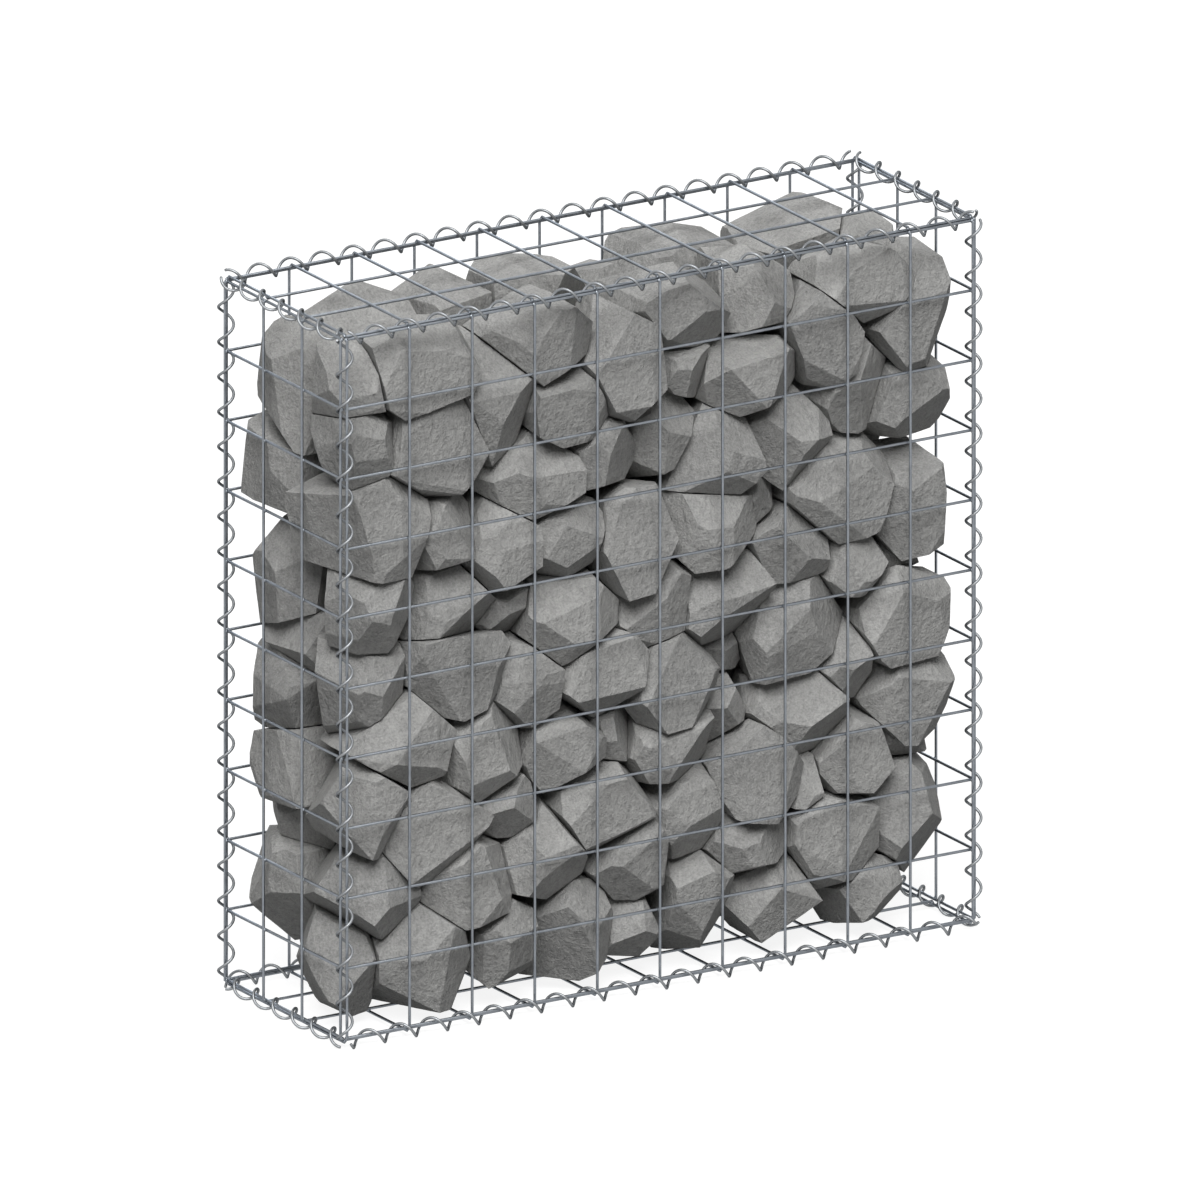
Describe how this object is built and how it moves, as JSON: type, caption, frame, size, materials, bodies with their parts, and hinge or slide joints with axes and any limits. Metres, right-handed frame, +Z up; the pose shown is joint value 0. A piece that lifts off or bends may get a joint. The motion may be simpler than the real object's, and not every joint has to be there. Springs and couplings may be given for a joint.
{
  "type": "gabion wall",
  "caption": "Free-standing gabion wall: a galvanised welded wire mesh basket, laced along its edges with wire spirals and filled with broken grey stone.",
  "frame": {"origin": "middle of the footprint, at the lowest turns of the bottom spirals, on which the wall stands", "axes": "+X along the wall to the right, +Y from front to back, +Z up"},
  "size_m": [1.0326, 0.336, 1.0308],
  "materials": {
    "galvanised_wire": "dull zinc coating",
    "spiral_wire": "bright zinc coating",
    "stone": "broken grey quarry stone"
  },
  "bodies": {
    "root": {"front_mesh": "galvanised_wire", "back_mesh": "galvanised_wire", "left_end_mesh": "galvanised_wire", "right_end_mesh": "galvanised_wire", "base_mesh": "galvanised_wire", "lid_mesh": "galvanised_wire", "spiral_front_left_corner": "spiral_wire", "spiral_front_right_corner": "spiral_wire", "spiral_back_left_corner": "spiral_wire", "spiral_back_right_corner": "spiral_wire", "spiral_front_top_edge": "spiral_wire", "spiral_back_top_edge": "spiral_wire", "spiral_front_bottom_edge": "spiral_wire", "spiral_back_bottom_edge": "spiral_wire", "spiral_left_top_edge": "spiral_wire", "spiral_right_top_edge": "spiral_wire", "spiral_left_bottom_edge": "spiral_wire", "spiral_right_bottom_edge": "spiral_wire", "stone_course_1": "stone", "stone_course_2": "stone", "stone_course_3": "stone", "stone_course_4": "stone", "stone_course_5": "stone", "stone_course_6": "stone", "stone_course_7": "stone", "stone_course_8": "stone", "stone_course_9": "stone", "stone_course_10": "stone"}
  },
  "joints": []
}
